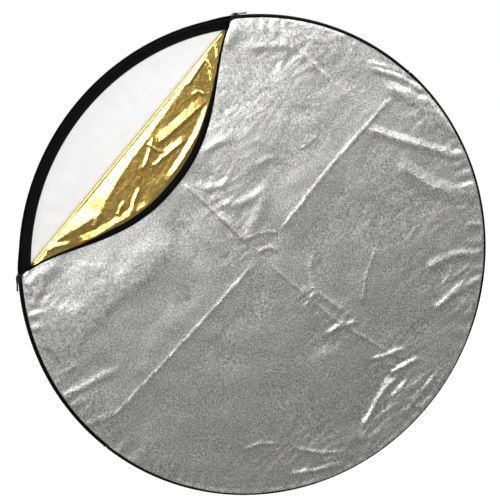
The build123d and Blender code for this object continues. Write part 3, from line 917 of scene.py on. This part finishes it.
back_line = zip_tape_line(BACK_TAPE, 7.2, 2.1)
back_tape = tape("back_tape", back_line, 0.9, TAPE_THICK, zip_run, flat_place, eased)
finish_piece(back_tape, "root", "zip_tape", TAPE, ["back_zip_tape"])
front_line = zip_tape_line(FRONT_TAPE, -6.7, -2.1)
front_tape = tape("front_tape", front_line, 0.9, TAPE_THICK, zip_run, fold)
finish_piece(front_tape, BLEND_TAPE, "zip_tape", TAPE,
             ["left_front_zip_tape", "top_front_zip_tape", "corner_zip_tape"])

facing_line = in_metres([(521.5, -3.92), (526, -3.92), (531.9, -3.92)])


def tucked(a, r, y):
    """The front facing is turned under along the folded corner, and shows only at the corner's ends."""
    under = smooth((math.radians(41.5) - np.abs(a)) / math.radians(4.5))
    return r + under * 0.9 * (TAPE_INNER - r), y + under * 0.3 * MM


front_facing = tape("front_facing", facing_line, 2, 0.3, zip_run, fold, tucked)
finish_piece(front_facing, BLEND_TAPE, "facing_tape", TAPE,
             ["left_front_zip_facing", "top_front_zip_facing", "corner_zip_facing"])
back_facing = tape("back_facing", [(r, -y) for r, y in facing_line], 2, 0.3, zip_run, flat_place)
finish_piece(back_facing, "root", "facing_tape", TAPE, ["back_zip_facing"])

binding_line = in_metres([
    (546.4, -5.0), (549.4, -5.0), (549.75, -4.4), (549.75, 4.4), (549.4, 5.0), (546.4, 5.0),
])
binding_run = np.linspace(math.radians(90.05), math.radians(269.95), 721)
# (degrees, millimetres) of how much further in the binding's legs reach
LEG_ANGLES = [90, 100, 152, 168, 212, 224, 234, 246, 270]
LEG_REACH = [4, 2, 1.8, -1, -1, 1, 0, 1.8, 4]


def uneven_leg(a, r, y):
    """The binding's legs reach further over the cloth at some places than at others."""
    leg = smooth((548 * MM - r) / (2 * MM))
    further = np.interp(np.degrees(a), LEG_ANGLES, LEG_REACH)
    return r - leg * (further + 0.3 * np.sin(a * 37)) * MM, y


binding = tape("rim_binding", binding_line, 0.8, 0.5, binding_run, flat_place, uneven_leg)
finish_piece(binding, "root", "binding_tape", BINDING, ["edge_binding"])

# (degrees, millimetres): along the opening, each half of the chain stands back from the middle
apart = ([-43.2, -42.95, 42.95, 43.2], [0.0, 1.5, 1.5, 0.0])
COIL_SPAN = (-89.6, 89.6)


def eased_place(t, n, y):
    """As flat_place, with the chain following the back tape's free edge."""
    a, r = np.arctan2(t, n), np.hypot(t, n)
    r, y = eased(a, r, y)
    return flat_place(*polar(a, r), y)


back_coil = coil("back_coil", COIL_SPAN, apart, 1, eased_place)
finish_piece(back_coil, "root", "nylon_coil", NYLON, ["back_zip_coil"])
front_coil = coil("front_coil", COIL_SPAN, apart, -1, fold, phase=0.5)
finish_piece(front_coil, BLEND_TAPE, "nylon_coil", NYLON,
             ["left_front_zip_coil", "top_front_zip_coil", "corner_zip_coil"])

ALL_ROUND, ZIP_SIDE, BOUND_SIDE = (-180, 180), (-90, 90), (91, 269)
# (name, radius, y, degrees, place, body, slot) of each row of stitches
STITCH_ROWS = [
    ("casing_stitching_front", 0.5235, -0.72 * MM, ALL_ROUND, flat_place, "root", "casing_tape"),
    ("casing_stitching_back", 0.5235, 0.72 * MM, ALL_ROUND, flat_place, "root", "casing_tape"),
    ("back_panel_stitching", 0.5385, BACK_Y + 0.05 * MM, ZIP_SIDE, flat_place, "root", "black_cloth"),
    ("front_panel_stitching", 0.5385, SILVER_Y - 0.05 * MM, ZIP_SIDE, fold, BLEND_TAPE,
     "silver_foil_cloth"),
    ("facing_stitching", 0.5240, -3.72 * MM, ZIP_SIDE, fold, BLEND_TAPE, "facing_tape"),
    ("binding_stitching_front", 0.5474, -5.3 * MM, BOUND_SIDE, flat_place, "root", "binding_tape"),
    ("binding_stitching_back", 0.5474, 5.3 * MM, BOUND_SIDE, flat_place, "root", "binding_tape"),
]
for name, radius, y, span, place, body, slot in STITCH_ROWS:
    thread = SILVER_THREAD if slot == "silver_foil_cloth" else THREAD
    finish_piece(stitches(name, radius, y, span, place), body, slot, thread)

# ================= finishes of the CAD pieces that stay =================
finishes = {
    "hoop_band": SPRING_STEEL,
    "hoop_splice_sleeve": ZINC,
    "hoop_splice_rivets": ALUMINIUM,
    "left_zip_end_stop": ENAMEL,
    "top_zip_end_stop": ENAMEL,
    "left_slider_body": ENAMEL,
    "top_slider_body": ENAMEL,
    "left_slider_crown": ENAMEL,
    "top_slider_crown": ENAMEL,
    "left_pull_tab": ENAMEL,
    "top_pull_tab": ENAMEL,
}
for node, material in finishes.items():
    obj = frame["nodes"][node]
    if not obj.material_slots:
        obj.data.materials.append(material)
    for s in obj.material_slots:
        s.link = "OBJECT"
        s.material = material

# ================= floor, light and camera =================
FLOOR_Z = -RIM
FLOOR_REACH = 14.0
CAMERA_AIM = Vector((-0.023, 0, 0.0195))
CAMERA_AZIMUTH, CAMERA_HEIGHT = math.radians(-15.25), math.radians(7.36)
CAMERA_DISTANCE = 4.0
CAMERA_LENS, CAMERA_SENSOR = 127.1, 36
# (height, brightness) of the light from all round, from straight below, 0, to straight above, 1
SKY = [(0.0, 0.27), (0.40, 0.185), (0.50, 0.26), (0.62, 0.65), (1.0, 1.0)]
# (name, place, aim, size, watts)
SOFTBOXES = [
    ("key", (-0.85, -4.5, 1.20), (-0.55, 0, 1.1), (2.3, 1.9), 89),
    ("key_core", (-0.15, -4.4, 0.85), (-0.3, 0, 0.2), (0.9, 0.9), 16),
    ("side", (2.15, -3.4, 1.55), (0.4, 0, 0.2), (1.1, 0.9), 21),
    ("fill", (2.6, -2.0, 2.6), (0, 0, 0), (1.6, 1.6), 40),
    ("top", (-0.4, -1.6, 3.2), (0, 0, 0), (2.5, 2.0), 60),
    ("behind", (1.0, 3.0, 1.8), (0, 0, 0), (2.0, 2.0), 40),
]


def pale_surface():
    """A pale floor that takes shadows but stays out of the object's reflections."""
    m = Nodes("pale_floor")
    m.set(Roughness=0.9)
    m.colour(m.noise(3, 2), [(0.3, (0.84,) * 3), (0.7, (0.88,) * 3)])
    glow = m.add("ShaderNodeEmission")
    glow.inputs["Color"].default_value = (1, 1, 1, 1)
    glow.inputs["Strength"].default_value = 1.2
    pale = m.add("ShaderNodeMixShader")
    pale.inputs[0].default_value = 0.8
    m.link(m.shader.outputs[0], pale.inputs[1])
    m.link(glow.outputs[0], pale.inputs[2])
    seen = m.add("ShaderNodeLightPath")
    clear = m.add("ShaderNodeBsdfTransparent")
    mix = m.add("ShaderNodeMixShader")
    m.link(seen.outputs["Is Camera Ray"], mix.inputs[0])
    m.link(clear.outputs[0], mix.inputs[1])
    m.link(pale.outputs[0], mix.inputs[2])
    m.link(mix.outputs[0], m.output.inputs["Surface"])
    return m.material


def make_floor():
    corners = [(-1, -1), (1, -1), (1, 1), (-1, 1)]
    points = [(x * FLOOR_REACH, y * FLOOR_REACH, FLOOR_Z) for x, y in corners]
    floor = mesh_object("floor", points, [(0, 1, 2, 3)])
    floor.data.materials.append(pale_surface())


def make_world():
    """White to the eye; as light, bright overhead and dim from the sides and below."""
    world = bpy.data.worlds.new("studio")
    bpy.context.scene.world = world
    world.use_nodes = True
    tree = world.node_tree
    back = tree.nodes["Background"]
    out = tree.nodes["World Output"]
    coords = tree.nodes.new("ShaderNodeTexCoord")
    split = tree.nodes.new("ShaderNodeSeparateXYZ")
    tree.links.new(coords.outputs["Generated"], split.inputs[0])
    level = tree.nodes.new("ShaderNodeMath")
    level.operation = "MULTIPLY_ADD"
    level.inputs[1].default_value = 0.5
    level.inputs[2].default_value = 0.5
    tree.links.new(split.outputs["Z"], level.inputs[0])
    ramp = tree.nodes.new("ShaderNodeValToRGB")
    while len(ramp.color_ramp.elements) < len(SKY):
        ramp.color_ramp.elements.new(0.5)
    for element, (position, value) in zip(ramp.color_ramp.elements, SKY):
        element.position = position
        element.color = (value, value, value, 1)
    tree.links.new(level.outputs[0], ramp.inputs["Fac"])
    tree.links.new(ramp.outputs["Color"], back.inputs["Color"])
    white = tree.nodes.new("ShaderNodeBackground")
    white.inputs["Color"].default_value = (1, 1, 1, 1)
    seen = tree.nodes.new("ShaderNodeLightPath")
    mix = tree.nodes.new("ShaderNodeMixShader")
    tree.links.new(seen.outputs["Is Camera Ray"], mix.inputs[0])
    tree.links.new(back.outputs[0], mix.inputs[1])
    tree.links.new(white.outputs[0], mix.inputs[2])
    tree.links.new(mix.outputs[0], out.inputs["Surface"])


def softbox(name, place, aim, size, watts):
    light = bpy.data.lights.new(name, "AREA")
    light.shape = "RECTANGLE"
    light.size, light.size_y = size
    light.energy = watts
    obj = bpy.data.objects.new(name, light)
    bpy.context.scene.collection.objects.link(obj)
    obj.location = place
    obj.visible_camera = False
    obj.rotation_euler = (Vector(aim) - Vector(place)).to_track_quat("-Z", "Y").to_euler()


def make_camera():
    e, a = CAMERA_HEIGHT, CAMERA_AZIMUTH
    back = Vector((math.sin(a) * math.cos(e), -math.cos(a) * math.cos(e), math.sin(e)))
    data = bpy.data.cameras.new("camera")
    data.lens, data.sensor_width = CAMERA_LENS, CAMERA_SENSOR
    camera = bpy.data.objects.new("camera", data)
    bpy.context.scene.collection.objects.link(camera)
    camera.location = CAMERA_AIM + back * CAMERA_DISTANCE
    camera.rotation_euler = (-back).to_track_quat("-Z", "Y").to_euler()
    bpy.context.scene.camera = camera


make_floor()
make_world()
for box in SOFTBOXES:
    softbox(*box)
make_camera()
bpy.context.scene.view_settings.view_transform = "Standard"
